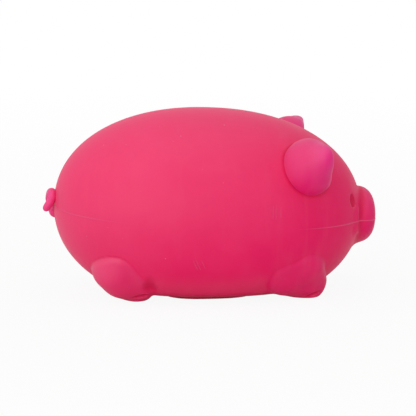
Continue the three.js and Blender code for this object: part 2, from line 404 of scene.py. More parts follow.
def limb_field(points, hip, foot):
    """Two balls, each a middle and a radius, and the cone that wraps them."""
    hip, foot = np.array(hip), np.array(foot)
    axis = foot[:3] - hip[:3]
    span = np.linalg.norm(axis)
    axis = axis / span
    rel = points - hip[:3]
    along = rel @ axis
    off = np.linalg.norm(rel - along[:, None] * axis, axis=1)
    taper = (hip[3] - foot[3]) / span
    run = math.sqrt(1 - taper ** 2)
    station = along * run - off * taper
    cone = off * run + along * taper - hip[3]
    hip_ball = np.hypot(off, along) - hip[3]
    foot_ball = np.hypot(off, along - span) - foot[3]
    return np.where(station < 0, hip_ball, np.where(station > span * run, foot_ball, cone))


def legs_field(points, toy):
    """The four legs, with their soles pressed flat and a fold over each sole."""
    mirrored = on_left(points)
    return smooth_max(outer_legs(mirrored, toy), -folds_field(mirrored, toy), 0.2 * MM)


def folds_field(mirrored, toy):
    """The folds over the left soles."""
    legs = toy.legs
    half = np.array((legs.crease_long / 2, legs.crease_deep, legs.crease_high / 2))
    front = on_leg(np.array(legs.front_crease), toy)
    rear = on_leg(np.array(legs.rear_crease), toy)
    return np.minimum(
        ellipsoid_field(mirrored, front, half, legs.front_crease_rise),
        ellipsoid_field(mirrored, rear, half, legs.rear_crease_rise),
    )


def outer_legs(mirrored, toy):
    """The left legs without their folds: round limbs, and a low relief of them on the side."""
    legs = toy.legs
    body = egg_field(mirrored, toy.egg)

    def chain(names, level):
        """Balls, and the cones from each to the next, run softly into each other."""
        balls = [np.array(getattr(legs, name)) * (*level, 1) for name in names]
        whole = np.full(len(mirrored), 1.0)
        for hip, foot in zip(balls, balls[1:]):
            whole = smooth_min(whole, limb_field(mirrored * level, hip, foot), legs.knee)
        return whole

    def leg(names, relief):
        """Round limbs and their low relief."""
        raised = smooth_max(chain(names, (1, 0, 1)), body - relief, legs.relief_edge)
        raised = smooth_max(raised, legs.inner - mirrored[:, 1], legs.relief_edge)
        return smooth_min(chain(names, (1, 1, 1)), raised, 2 * legs.relief_edge)

    front = leg(("elbow", "shoulder", "front_foot", "elbow"), legs.front_relief)
    forwards = smooth_step(legs.haunch[0], legs.hock[0] + 3 * MM, mirrored[:, 0])
    rear = leg(("haunch", "hock", "rear_foot"), legs.rear_relief * (1 - 0.8 * forwards))
    return smooth_max(np.minimum(front, rear), -mirrored[:, 2], legs.sole_edge)


def on_leg(middle, toy):
    """The place on the legs' outer side that lies straight across from a point."""
    point = middle[None, :].copy()
    for _ in range(8):
        point[:, 1] -= outer_legs(point, toy)
    return point[0]


def snout_field(local, egg, face):
    """The round-edged oval drum of the snout, in the egg's own frame."""
    front = egg.long / 2 + face.snout_reach
    rounding = face.snout_rounding
    half = np.array((face.snout_wide, face.snout_high)) / 2
    across = np.stack([local[:, 1], local[:, 2] + face.snout_drop], axis=1)
    out = stretched_ball(across, half) + rounding
    drum = corner(out, local[:, 0] - (front - rounding)) - rounding
    return np.maximum(drum, egg.long * 0.3 - local[:, 0])


def eye_place(egg, face):
    """Where the left eye lies in the egg's own frame."""
    ring = (1 - face.eye_along ** egg.fullness) ** (1 / egg.fullness)
    return np.array((
        face.eye_along * egg.long / 2,
        math.cos(face.eye_angle) * ring * egg.wide / 2,
        math.sin(face.eye_angle) * ring * egg.high / 2,
    ))


def skin_field(points, toy):
    """Body, legs and snout in one, with the eye dents and nostrils pressed in."""
    egg, face, legs = toy.egg, toy.face, toy.legs
    local = to_egg(points, egg)
    fold = face.fold_top + (face.fold_bottom - face.fold_top) * smooth_step(
        face.snout_high * 0.3, -face.snout_high * 0.3, local[:, 2]
    )
    body, snout = belly_field(points, egg), snout_field(local, egg, face)
    level = (local[:, 2] + face.snout_drop) / (face.snout_high / 2)
    # the collar shows beside the snout and runs out over and under it
    fade = smooth_step(0.9, 0.35, np.abs(level))
    collar = np.hypot(body + 0.5 * face.collar, snout - 2.4 * face.collar)
    collar += face.collar * (3 - 4 * fade)
    body = smooth_min(smooth_min(body, collar, 2 * face.collar), snout, fold)
    body = smooth_min(body, legs_field(points, toy), legs.fillet)
    mirrored = on_left(local)
    nostril = ellipsoid_field(
        mirrored,
        (egg.long / 2 + face.snout_reach, face.nostril_spread / 2, -face.snout_drop),
        (face.nostril_deep, face.nostril_wide / 2, face.nostril_high / 2),
    )
    body = smooth_max(body, -nostril, 0.4 * MM)
    body = smooth_max(body, -eye_dent(mirrored, egg, face), 0.3 * MM)
    # the hollow pressed in over each rear foot
    hollow = limb_field(on_left(points), legs.hollow_top, legs.hollow_foot)
    return smooth_max(body, -hollow, 1.6 * MM)


def eye_dent(mirrored, egg, face):
    """The left eye's dent: a flat ball whose short axis stands on the egg's surface."""
    middle = eye_place(egg, face)
    half = np.array((egg.long, egg.wide, egg.high)) / 2
    ring = math.hypot(middle[1] / half[1], middle[2] / half[2])
    n = egg.fullness
    normal = np.array((
        (middle[0] / half[0]) ** (n - 1) / half[0],
        ring ** (n - 2) * middle[1] / half[1] ** 2,
        ring ** (n - 2) * middle[2] / half[2] ** 2,
    ))
    normal /= np.linalg.norm(normal)
    rel = mirrored - middle
    deep = rel @ normal
    flat = np.linalg.norm(rel - deep[:, None] * normal, axis=1)
    size = np.maximum(np.hypot(deep / face.eye_deep, flat / face.eye_radius), 1e-9)
    pace = np.hypot(deep / face.eye_deep ** 2, flat / face.eye_radius ** 2).clip(1e-9)
    return size * (size - 1) / pace


def pointed_ball(rel, half, ears):
    """The ear's ball with its tip drawn out, about the origin."""
    level = np.array((ears.rim, ears.half[1]))
    level = level / np.linalg.norm(level) * math.cos(ears.tip_rise)
    tip = np.array((level[0], level[1], math.sin(ears.tip_rise)))
    scaled = rel / half
    size = lengths(scaled)
    towards = np.maximum(scaled @ tip / size, 0.0)
    return (size / (1 + ears.point * towards ** ears.point_power) - 1) * half.mean()


def ear_field(points, toy):
    """The left ear: the hollowed ball, cut open at the front, its root running into the skin."""
    ears = toy.ears
    half = np.array(ears.half)
    rel = points - np.array(ears.middle)
    hollow = pointed_ball(rel - (ears.wall, 0, 0), half - ears.wall, ears)
    scoop = smooth_max(pointed_ball(rel, half, ears), -hollow, ears.lip)
    opening = np.array((
        math.cos(ears.lean) * math.cos(ears.toe_in),
        -math.cos(ears.lean) * math.sin(ears.toe_in),
        math.sin(ears.lean),
    ))
    scoop = smooth_max(scoop, (rel - (ears.rim, 0, 0)) @ opening, ears.lip)
    return smooth_max(scoop, -egg_field(points, toy.egg) - ears.root, 0.5 * MM)


def filling_field(points, toy):
    """The dough inside the skin, with room for the ears' roots, which sink in a squeeze."""
    sinks = (np.array((0, 0, sink * MM)) for sink in (0, 2, 4, 6))
    ears = np.minimum.reduce([ear_field(on_left(points) + sink, toy) for sink in sinks])
    dough = egg_field(points, toy.egg, toy.egg.wall + DOUGH_GAP)
    return smooth_max(dough, EAR_GAP - ears, 1 * MM)


# What a surface's form does to its look

def bend_of(field, points, step=0.4 * MM):
    """How sharply a surface bends, per millimetre: above 0 over an edge, below 0 in a crease."""
    total = -6 * field(points)
    for shift in np.eye(3) * step:
        total += field(points + shift) + field(points - shift)
    return total / step ** 2 * MM


def surface_state(field, points, toy):
    """Attributes of the skin: painted sheen on edges, painted shade in creases, and dust and painted
    sheen on the lit side.
    """
    bend = bend_of(field, points)
    return {
        # painted sheen: convex edges are painted pale
        "rim_sheen": smooth_step(0.3, 1.4, bend),
        # painted shade: concave bends are painted deeper
        "crease_shade": smooth_step(-0.2, -1.2, bend),
        # dust and painted sheen on the side that faces the key lamp
        "dust": dust_and_sheen_facing(outwards(field, points), toy.finish),
    }


def dust_and_sheen_facing(normals, finish):
    """How much dust and painted sheen lie on the skin, by how far it faces the lit side."""
    side = np.array(finish.lit_side)
    return smooth_step(-0.35, 0.75, normals @ (side / np.linalg.norm(side)))


def skin_state(points, toy):
    """Attributes of the whole skin: what its bends show, and what its places add."""
    nose = toy.egg.long / 2 - toy.finish.tint_reach
    limb = 0.6 * smooth_step(nose, nose + 4 * MM, to_egg(points, toy.egg)[:, 0])
    state = surface_state(lambda p: skin_field(p, toy), points, toy)
    mirrored = on_left(points)
    local = to_egg(mirrored, toy.egg)
    height = points[:, 2]
    body, snout = egg_field(points, toy.egg), snout_field(local, toy.egg, toy.face)
    at_snout = np.hypot(body, snout)
    hollow_top, hollow_foot = toy.legs.hollow_top, toy.legs.hollow_foot
    legs = outer_legs(mirrored, toy)
    off_legs = smooth_step(1 * MM, 2 * MM, legs)
    on_legs = smooth_step(0.6 * MM, 0.1 * MM, legs)
    rear = smooth_step(20 * MM, -20 * MM, points[:, 0])
    # painted shade, deep and clean of the pale film: where an ear lies on the skin, on the snout's
    # root, in the eyes, in the folds over the soles, in the hollows over the rear feet and along the
    # belly's rim
    state["crease_shade"] = np.maximum.reduce([
        state["crease_shade"],
        smooth_step(1.4 * MM, 0.2 * MM, ear_field(mirrored, toy)),
        smooth_step(2.6 * MM, 0.8 * MM, at_snout) * smooth_step(0.1 * MM, 0.4 * MM, body),
        smooth_step(0.5 * MM, 0.1 * MM, eye_dent(local, toy.egg, toy.face)),
        smooth_step(0.4 * MM, 0, folds_field(mirrored, toy)),
        smooth_step(1.6 * MM, 0.2 * MM, limb_field(mirrored, hollow_top, hollow_foot)),
        smooth_step(4.5 * MM, 2 * MM, height) * off_legs,
    ])
    # painted sheen: the skin beside the snout's root is painted pale, most towards its lower side
    beside = smooth_step(3.4 * MM, 1.4 * MM, at_snout) * smooth_step(0.4 * MM, 0.1 * MM, body)
    snout_root_sheen = 0.6 * beside * smooth_step(6 * MM, -2 * MM, local[:, 2])
    state["rim_sheen"] = np.maximum(state["rim_sheen"], snout_root_sheen)
    # painted light: the legs, the rear ones most, and a band low on the belly get more of the pale
    # film of dust and painted sheen
    low_band = smooth_step(14 * MM, 6 * MM, height) * smooth_step(3 * MM, 5 * MM, height)
    state["dust"] += on_legs * (0.15 + 0.4 * rear) + 0.55 * off_legs * low_band
    # the pale film is kept out of the painted shade
    state["dust"] *= 1 - 0.8 * state["crease_shade"]
    return {"limb": np.maximum(limb, 0.35 * on_legs), **state}


# Meshes wrapped over a field

def slope_of(field, points, step=0.02 * MM):
    """The direction in which a field grows, at each point."""
    shifts = np.eye(3) * step
    rises = [field(points + shift) - field(points - shift) for shift in shifts]
    return np.stack(rises, axis=1) / (2 * step)


def outwards(field, points):
    """The way that a field's surface faces, at each point."""
    slope = slope_of(field, points)
    return slope / lengths(slope)[:, None]


def settle(points, field, passes):
    """Points moved onto the zero surface of a field."""
    for _ in range(passes):
        slope = slope_of(field, points)
        points = points - slope * (field(points) / np.maximum((slope ** 2).sum(axis=1), 1e-6))[:, None]
    return points


def wrap(field, places, relax=3):
    """Points and quads over the zero surface of a field: one point in each cell that it crosses."""
    shape = [len(along) for along in places]
    grid = np.stack(np.meshgrid(*places, indexing="ij"), axis=-1).reshape(-1, 3)
    value = field(grid).reshape(shape)
    total = np.zeros((len(grid), 3))
    count = np.zeros(len(grid))
    quads = []
    for axis in range(3):
        ahead = [slice(None)] * 3
        behind = [slice(None)] * 3
        ahead[axis] = slice(1, None)
        behind[axis] = slice(None, -1)
        first, second = value[tuple(behind)], value[tuple(ahead)]
        at = np.argwhere((first < 0) != (second < 0))
        first, second = first[tuple(at.T)], second[tuple(at.T)]
        crossing = np.stack([places[i][at[:, i]] for i in range(3)], axis=1)
        gap = places[axis][at[:, axis] + 1] - crossing[:, axis]
        crossing[:, axis] += gap * first / (first - second)
        corners = []
        for du, dv in ((-1, -1), (0, -1), (0, 0), (-1, 0)):
            cell = at.copy()
            cell[:, (axis + 1) % 3] += du
            cell[:, (axis + 2) % 3] += dv
            corners.append(np.ravel_multi_index(cell.T, shape))
            np.add.at(total, corners[-1], crossing)
            np.add.at(count, corners[-1], 1)
        corners = np.stack(corners, axis=1)
        inwards = first >= 0
        corners[inwards] = corners[inwards][:, ::-1]
        quads.append(corners)
    used, quads = np.unique(np.concatenate(quads), return_inverse=True)
    quads = quads.reshape(-1, 4)
    points = settle(total[used] / count[used][:, None], field, 2)
    for _ in range(relax):
        points = settle(relaxed(points, quads), field, 1)
    return points, quads


def relaxed(points, quads):
    """Points moved halfway to the mean of their neighbours."""
    total = np.zeros_like(points)
    count = np.zeros(len(points))
    for k in range(4):
        here, there = quads[:, k], quads[:, (k + 1) % 4]
        np.add.at(total, here, points[there])
        np.add.at(count, here, 1)
    return points + 0.5 * (total / count[:, None] - points)


def stations(low, high, *steps):
    """Places along an axis; steps are (up to where, spacing) pairs, and the last runs to high."""
    places = [low]
    for limit, spacing in steps:
        while places[-1] < min(limit, high):
            places.append(places[-1] + spacing)
    return np.array(places)


def placed(name, data):
    """A new object at the origin, in the scene."""
    made = bpy.data.objects.new(name, data)
    bpy.context.scene.collection.objects.link(made)
    return made


def rows_of(items, name):
    """What a mesh's points say of a vector, as rows."""
    flat = np.zeros(3 * len(items), np.float32)
    items.foreach_get(name, flat)
    return flat.reshape(-1, 3)


def set_numbers(mesh, **attributes):
    """Gives a mesh attributes of one number a point."""
    for label, values in attributes.items():
        layer = mesh.attributes.new(label, "FLOAT", "POINT")
        layer.data.foreach_set("value", np.asarray(values, np.float32))


def mesh_object(name, points, faces, **attributes):
    """A smooth-shaded mesh object at the origin, with its attributes of one number a point."""
    mesh = bpy.data.meshes.new(name)
    mesh.from_pydata(np.asarray(points).tolist(), [], np.asarray(faces).tolist())
    mesh.polygons.foreach_set("use_smooth", np.ones(len(mesh.polygons), bool))
    set_numbers(mesh, **attributes)
    mesh.update()
    return placed(name, mesh)


def line_object(name, points, closed=False, parts=1, **attributes):
    """Chains of edges through points, for a swept rod to follow; parts are of equal length."""
    each = len(points) // parts
    edges = [(i, i + 1) for i in range(len(points) - 1) if (i + 1) % each]
    if closed:
        edges.append((len(points) - 1, 0))
    mesh = bpy.data.meshes.new(name)
    mesh.from_pydata(np.asarray(points).tolist(), edges, [])
    set_numbers(mesh, **attributes)
    return placed(name, mesh)


# Nodes

def add_node(tree, kind, inputs=None, **settings):
    """Adds a node with its settings. Each input is given a socket to link, or a plain value."""
    node = tree.nodes.new(kind)
    for key, value in settings.items():
        setattr(node, key, value)
    for key, value in (inputs or {}).items():
        if isinstance(value, bpy.types.NodeSocket):
            tree.links.new(value, node.inputs[key])
        else:
            node.inputs[key].default_value = value
    return node


def maths(tree, operation, a, b, **settings):
    """The result of a sum on two sockets or numbers."""
    return add_node(tree, "ShaderNodeMath", {0: a, 1: b}, operation=operation, **settings).outputs[0]


def ranged(tree, value, start, end, low, high):
    """A socket's value, mapped from start and end onto low and high."""
    limits = {"From Min": start, "From Max": end, "To Min": low, "To Max": high}
    return add_node(tree, "ShaderNodeMapRange", {"Value": value, **limits}).outputs["Result"]


def noise(tree, spot, scale, detail, **more):
    """A cloudy texture at a place."""
    inputs = {"Vector": spot, "Scale": scale, "Detail": detail, **more}
    return add_node(tree, "ShaderNodeTexNoise", inputs).outputs["Fac"]


def mixed_colour(tree, amount, under, over):
    """One colour laid over another by an amount; each is a socket or a linear colour."""
    under, over = (
        c if isinstance(c, bpy.types.NodeSocket) else (*c, 1) for c in (under, over)
    )
    inputs = {"Factor": amount, "A": under, "B": over}
    return add_node(tree, "ShaderNodeMix", inputs, data_type="RGBA").outputs["Result"]


def new_tree(name, sockets):
    """A geometry node tree with named inputs, and the sockets that give them."""
    tree = bpy.data.node_groups.new(name, "GeometryNodeTree")
    tree.interface.new_socket("Geometry", in_out="INPUT", socket_type="NodeSocketGeometry")
    for label, kind in sockets.items():
        tree.interface.new_socket(label, in_out="INPUT", socket_type="NodeSocket" + kind)
    tree.interface.new_socket("Geometry", in_out="OUTPUT", socket_type="NodeSocketGeometry")
    return tree, add_node(tree, "NodeGroupInput").outputs


def rod_tree():
    """Sweeps a round section along a chain of edges, as thick as its points say."""
    tree, given = new_tree(
        "Swept rod", {"Sides": "Int", "Thickness": "Float", "Material": "Material"}
    )
    path = add_node(tree, "GeometryNodeMeshToCurve", {"Mesh": given["Geometry"]})
    section = add_node(
        tree, "GeometryNodeCurvePrimitiveCircle", {"Radius": 1.0, "Resolution": given["Sides"]}
    )
    thick = add_node(tree, "GeometryNodeInputNamedAttribute", {"Name": "thickness"})
    swept = add_node(tree, "GeometryNodeCurveToMesh", {
        "Curve": path.outputs["Curve"],
        "Profile Curve": section.outputs["Curve"],
        "Scale": maths(tree, "MULTIPLY", thick.outputs["Attribute"], given["Thickness"]),
        "Fill Caps": True,
    })
    smooth = add_node(tree, "GeometryNodeSetShadeSmooth", {"Geometry": swept.outputs["Mesh"]})
    return finish_tree(tree, given, smooth.outputs["Geometry"])


def finish_tree(tree, given, geometry):
    """Ends a tree with real geometry that has its material."""
    real = add_node(tree, "GeometryNodeRealizeInstances", {"Geometry": geometry})
    painted = add_node(
        tree, "GeometryNodeSetMaterial",
        {"Geometry": real.outputs["Geometry"], "Material": given["Material"]},
    )
    add_node(tree, "NodeGroupOutput", {"Geometry": painted.outputs["Geometry"]})
    return tree


def strewn_tree():
    """Strews flat flecks over a surface, turned at random and lying on it."""
    tree, given = new_tree(
        "Strewn flecks",
        {"Density": "Float", "Length": "Float", "Seed": "Int", "Material": "Material"},
    )
    spots = add_node(
        tree, "GeometryNodeDistributePointsOnFaces",
        {"Mesh": given["Geometry"], "Density": given["Density"], "Seed": given["Seed"]},
    )
    fleck = add_node(tree, "GeometryNodeMeshIcoSphere", {"Radius": 0.5, "Subdivisions": 2})
    flat = add_node(
        tree, "GeometryNodeTransform",
        {"Geometry": fleck.outputs["Mesh"], "Scale": (1.0, 0.45, 0.22)},
    )

    def drawn(low, high):
        """A number drawn at random for each fleck."""
        inputs = {"Min": low, "Max": high, "Seed": given["Seed"]}
        return add_node(tree, "FunctionNodeRandomValue", inputs, data_type="FLOAT").outputs["Value"]

    upright = add_node(tree, "ShaderNodeCombineXYZ", {"Z": drawn(0.0, math.tau)})
    turned = add_node(
        tree, "FunctionNodeRotateRotation",
        {"Rotation": spots.outputs["Rotation"], "Rotate By": upright.outputs["Vector"]},
        rotation_space="LOCAL",
    )
    strewn = add_node(tree, "GeometryNodeInstanceOnPoints", {
        "Points": spots.outputs["Points"],
        "Instance": flat.outputs["Geometry"],
        "Rotation": turned.outputs["Rotation"],
        "Scale": maths(tree, "MULTIPLY", drawn(0.35, 1.0), given["Length"]),
    })
    return finish_tree(tree, given, strewn.outputs["Instances"])


def baked(carrier, name, tree, **inputs):
    """What a tree makes of a carrier object, as a plain mesh object; the carrier goes."""
    modifier = carrier.modifiers.new(tree.name, "NODES")
    modifier.node_group = tree
    sockets = {s.name: s.identifier for s in tree.interface.items_tree if s.in_out == "INPUT"}
    for label, value in inputs.items():
        modifier[sockets[label.capitalize()]] = value
    graph = bpy.context.evaluated_depsgraph_get()
    mesh = bpy.data.meshes.new_from_object(carrier.evaluated_get(graph), depsgraph=graph)
    bpy.data.objects.remove(carrier)
    mesh.name = name
    return placed(name, mesh)


# Materials

def bare_tree(owner):
    """The emptied node tree of a material or a world."""
    owner.use_nodes = True
    owner.node_tree.nodes.clear()
    return owner.node_tree


def coated(tree, height, strength, distance, **inputs):
    """Ends a material's tree with a surface whose grain follows a height."""
    bump = add_node(
        tree, "ShaderNodeBump", {"Strength": strength, "Distance": distance, "Height": height}
    )
    named = {key.replace("_", " "): value for key, value in inputs.items()}
    named["Normal"] = bump.outputs["Normal"]
    surface = add_node(tree, "ShaderNodeBsdfPrincipled", named)
    add_node(tree, "ShaderNodeOutputMaterial", {"Surface": surface.outputs["BSDF"]})


def moulded_tpr(finish):
    """Thermoplastic rubber, injection moulded: satin, a little translucent, and hazy where it
    has been handled. The mould's fine spark texture breaks up its gloss."""
    material = bpy.data.materials.new(SKIN_MATERIAL)
    tree = bare_tree(material)
    spot = add_node(tree, "ShaderNodeTexCoord").outputs["Object"]
    # painted shade deepens creases, painted sheen pales convex edges, and dust and painted sheen lie
    # on the lit side
    tint = finish.body_pink
    for name, rgb, most in (
        ("limb", finish.limb_pink, 1.0),
        ("tip", finish.tip_pink, 1.0),
        ("bead", finish.bead_pink, 1.0),
        ("crease_shade", finish.crease_shade_pink, 0.85),
        ("rim_sheen", finish.haze_and_sheen_pink, 0.4),
        ("dust", finish.dust, finish.dust_and_sheen_share),
    ):
        where = add_node(tree, "ShaderNodeAttribute", attribute_name=name)
        amount = maths(tree, "MULTIPLY", where.outputs["Fac"], most)
        tint = mixed_colour(tree, amount, tint, rgb)
    # clouds of haze about 15 mm across
    cloud = noise(tree, spot, 65.0, 3.0, Roughness=0.55)
    tint = mixed_colour(tree, ranged(tree, cloud, 0.42, 0.68, 0.0, 0.08), tint, finish.haze_and_sheen_pink)
    # upright wipe marks, about 4 mm apart and 40 mm long, strongest on the cheeks
    drawn = add_node(
        tree, "ShaderNodeVectorMath", {0: spot, 1: (260.0, 120.0, 24.0)}, operation="MULTIPLY"
    )
    wiped = ranged(tree, noise(tree, drawn.outputs["Vector"], 1.0, 2.0), 0.5, 0.72, 0.0, 0.017)
    along = add_node(tree, "ShaderNodeSeparateXYZ", {"Vector": spot}).outputs["X"]
    cheeks = ranged(tree, along, 12 * MM, 32 * MM, 0.35, 1.0)
    tint = mixed_colour(tree, maths(tree, "MULTIPLY", wiped, cheeks), tint, finish.dust)
    # the mould's spark texture, about 0.25 mm, drawn at 0.6 mm so that it shows
    coated(
        tree, noise(tree, spot, 1600.0, 2.0), 0.18, 0.08 * MM,
        Base_Color=tint,
        Roughness=ranged(tree, cloud, 0.3, 0.7, 0.47, 0.55),
        IOR=1.5,
        Specular_IOR_Level=0.2,
        Sheen_Weight=0.05,
        Sheen_Roughness=0.3,
        Subsurface_Weight=0.2,
        Subsurface_Radius=(1.0, 0.2, 0.3),
        Subsurface_Scale=1.5 * MM,
    )
    return material


def plain_material(name, rgb, roughness, scale, depth, specular=0.3):
    """A matt material with a grain of its own and slight changes of tone."""
    material = bpy.data.materials.new(name)
    tree = bare_tree(material)
    spot = add_node(tree, "ShaderNodeTexCoord").outputs["Object"]
    grain = noise(tree, spot, scale, 3.0)
    tone = mixed_colour(tree, grain, [c * 0.88 for c in rgb], rgb)
    coated(
        tree, grain, 0.3, depth,
        Base_Color=tone, Roughness=roughness, Specular_IOR_Level=specular,
    )
    return material


def skin_material():
    """The one moulded rubber that all skin pieces share."""
    found = bpy.data.materials.get(SKIN_MATERIAL)
    return found or moulded_tpr(bpy.context.scene.pig_toy.finish)


# Pieces

def skin_rod(name, points, thickness, sides, scale, **line):
    """A round rod of the skin's rubber along a path; thickness is half its width, over scale."""
    carrier = line_object(name + "_path", points, thickness=thickness, **line)
    return baked(
        carrier, name, rod_tree(), sides=sides, thickness=scale, material=skin_material()
    )


def run_along(path):
    """How far each point of a path lies along it."""
    return np.concatenate([[0], np.cumsum(np.linalg.norm(np.diff(path, axis=0), axis=1))])


def parting_path(toy, count=2880, spacing=0.5 * MM):
    """The line round body and snout where the mould's halves met."""
    turns = np.linspace(0, math.tau, count, endpoint=False)
    ray = np.stack([np.cos(turns), np.sin(turns), np.zeros(count)], axis=1)
    start = np.array((0.0, 0.0, -toy.egg.parting))
    low = np.full(count, 20 * MM)
    high = np.full(count, 75 * MM)
    for _ in range(24):
        middle = (low + high) / 2
        outside = skin_field(from_egg(start + ray * middle[:, None], toy.egg), toy) > 0
        high = np.where(outside, middle, high)
        low = np.where(outside, low, middle)
    points = from_egg(start + ray * low[:, None], toy.egg)
    loop = np.concatenate([points, points[:1]])
    run = run_along(loop)
    even = np.linspace(0, run[-1], int(run[-1] / spacing), endpoint=False)
    return np.stack([np.interp(even, run, loop[:, k]) for k in range(3)], axis=1)


class PIG_OT_skin(Operator):
    """Wrap the moulded skin over body, legs and snout"""

    bl_idname = "pig_toy.skin"
    bl_label = "Make Skin"

    def execute(self, context):
        toy = context.scene.pig_toy
        cell = 0.68 * MM
        low, high = (np.array(c) for c in CAD_BOX)
        low, high = low - 2 * MM, high + 2 * MM
        # the cells are finer along the snout and near the ground
        points, quads = wrap(
            lambda p: skin_field(p, toy),
            [
                stations(low[0], high[0], (44 * MM, cell), (1, cell * 0.65)),
                stations(low[1], high[1], (1, cell)),
                stations(low[2], high[2], (6 * MM, cell * 0.7), (1, cell)),
            ],
        )
        skin = mesh_object("moulded_skin", points, quads, **skin_state(points, toy))
        skin.data.materials.append(skin_material())
        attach(skin, "base")
        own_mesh(skin)
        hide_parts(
            "skin_upper", "skin_lower", "snout",
            "leg_front_left", "leg_front_right", "leg_rear_left", "leg_rear_right",
        )
        return {"FINISHED"}


class PIG_OT_filling(Operator):
    """Make the soft dough that fills the skin"""

    bl_idname = "pig_toy.filling"
    bl_label = "Make Filling"

    def execute(self, context):
        toy = context.scene.pig_toy
        low, high = (np.array(c) for c in CAD_BOX)
        points, quads = wrap(
            lambda p: filling_field(p, toy),
            [stations(low[k], high[k], (1, 1.6 * MM)) for k in range(3)],
        )
        dough = mesh_object("dough_filling", points, quads)
        dough.data.materials.append(
            plain_material("kneaded flour dough", toy.finish.dough, 0.8, 400.0, 0.2 * MM)
        )
        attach(dough, "base")
        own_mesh(dough)
        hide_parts("filling")
        return {"FINISHED"}


class PIG_OT_parting_line(Operator):
    """Sweep the fine bead that the joint of the mould's halves left round the toy"""

    bl_idname = "pig_toy.parting_line"
    bl_label = "Make Parting Line"

    def execute(self, context):
        toy = context.scene.pig_toy
        path = parting_path(toy)
        local = to_egg(path, toy.egg)
        # the bead is low, and runs out along the sides
        ends = smooth_step(0.3, 0.9, np.abs(local[:, 0]) / (toy.egg.long / 2))
        sunk = toy.finish.bead - toy.finish.bead_high * (1.4 * ends - 0.4)
        path = path - outwards(lambda p: skin_field(p, toy), path) * sunk[:, None]
        whole = np.ones(len(path))
        bead = skin_rod("parting_bead", path, whole, 8, toy.finish.bead, closed=True)
        spots = rows_of(bead.data.vertices, "co")
        along = np.abs(to_egg(spots, toy.egg)[:, 0]) / (toy.egg.long / 2)
        set_numbers(bead.data, bead=0.15 + 0.35 * smooth_step(0.3, 0.9, along))
        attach(bead, "base")
        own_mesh(bead)
        return {"FINISHED"}


class PIG_OT_ears(Operator):
    """Make the two scoop-shaped ears"""

    bl_idname = "pig_toy.ears"
    bl_label = "Make Ears"

    def execute(self, context):
        toy = context.scene.pig_toy
        cell = 0.42 * MM
        low, high = (np.array(c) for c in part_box("ear_left"))
        low, high = low - (3 * MM, 7 * MM, 4 * MM), high + 3 * MM
        points, quads = wrap(
            lambda p: ear_field(p, toy),
            [stations(low[k], high[k], (1, cell)) for k in range(3)],
        )
        ears = toy.ears
        middle = np.array(ears.middle)
        rel = points - middle
        # the thin front edge lets more light through, most at the tip
        to_rim = smooth_step(ears.rim - 9 * MM, ears.rim + 1 * MM, rel[:, 0])
        tip_share = 0.6 * to_rim * smooth_step(-9 * MM, 6 * MM, rel[:, 2])
        # painted sheen on the ears' edges, painted shade in their hollows, and dust and painted sheen
        # on their lit side
        state = surface_state(lambda p: ear_field(p, toy), points, toy)
        root = slope_of(lambda p: egg_field(p, toy.egg), middle[None, :])[0]
        root /= np.linalg.norm(root)
        for name, side in (("left", 1), ("right", -1)):
            mirror = np.array((1, side, 1))
            faces = quads if side > 0 else quads[:, ::-1]
            ear = mesh_object(
                f"ear_{name}_scoop", points * mirror, faces,
                limb=np.ones(len(points)), tip=tip_share, **state,
            )
            ear.data.materials.append(skin_material())
            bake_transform(ear)
            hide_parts(f"ear_{name}")
        return {"FINISHED"}


class PIG_OT_tail(Operator):
    """Sweep the tail's curl on the rump"""

    bl_idname = "pig_toy.tail"
    bl_label = "Make Tail"

    def execute(self, context):
        toy = context.scene.pig_toy
        tail = toy.tail
        along = np.linspace(0, 1, 140)
        turn = tail.start + tail.sweep * along
        radius = tail.radius - tail.inwards * along
        lift = -tail.sink + (tail.lift + tail.sink) * smooth_step(0, 0.35, along)
        kick = tail.kick * smooth_step(0.7, 1, along)
        local = np.stack([
            -toy.egg.long / 2 - lift - kick,
            radius * np.cos(turn),
            radius * np.sin(turn) - tail.drop,
        ], axis=1)
        rod = tail.rod + (tail.tip - tail.rod) * along
        run = run_along(local)
        # both ends are round
        bulge = np.clip(1 - np.minimum(run, run[-1] - run) / rod, 0, 1)
        thickness = rod * np.sqrt(np.maximum(1 - bulge ** 2, 0.0004))
        curl = skin_rod("tail_curl", from_egg(local, toy.egg), thickness, 28, 1.0)
        # dust and painted sheen on the tail's lit side
        tail_dust_and_sheen = 0.3 + dust_and_sheen_facing(rows_of(curl.data.vertex_normals, "vector"), toy.finish)
        whole = np.ones(len(tail_dust_and_sheen))
        set_numbers(curl.data, limb=whole, tip=0.35 * whole, dust=tail_dust_and_sheen)
        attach(curl, "tail")
        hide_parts("tail")
        return {"FINISHED"}


def scuff_strokes(toy, middle, tilt, steps=12):
    """Short strokes side by side on the skin, and how thick each is along its way."""
    finish = toy.finish
    rng = np.random.default_rng(finish.seed)
    strokes = []
    for k in range(STROKES):
        along = np.linspace(-0.5, 0.5, steps) * finish.scuff_long * rng.uniform(0.6, 1.1)
        across = (k - (STROKES - 1) / 2) * finish.scuff_apart + rng.uniform(-0.3, 0.3) * MM
        x = middle[0] + across * math.cos(tilt) + along * math.sin(tilt)
        z = middle[2] - across * math.sin(tilt) * 0.5 + along * math.cos(tilt)
        strokes.append(np.stack([x, np.full(steps, middle[1]), z], axis=1))
    points = settle(np.concatenate(strokes), lambda p: skin_field(p, toy), 4)
    thickness = np.tile(0.3 + 0.7 * np.sin(np.linspace(0, math.pi, steps)) ** 0.5, STROKES)
    sunk = 0.75 * finish.scuff * thickness
    return points - outwards(lambda p: skin_field(p, toy), points) * sunk[:, None], thickness


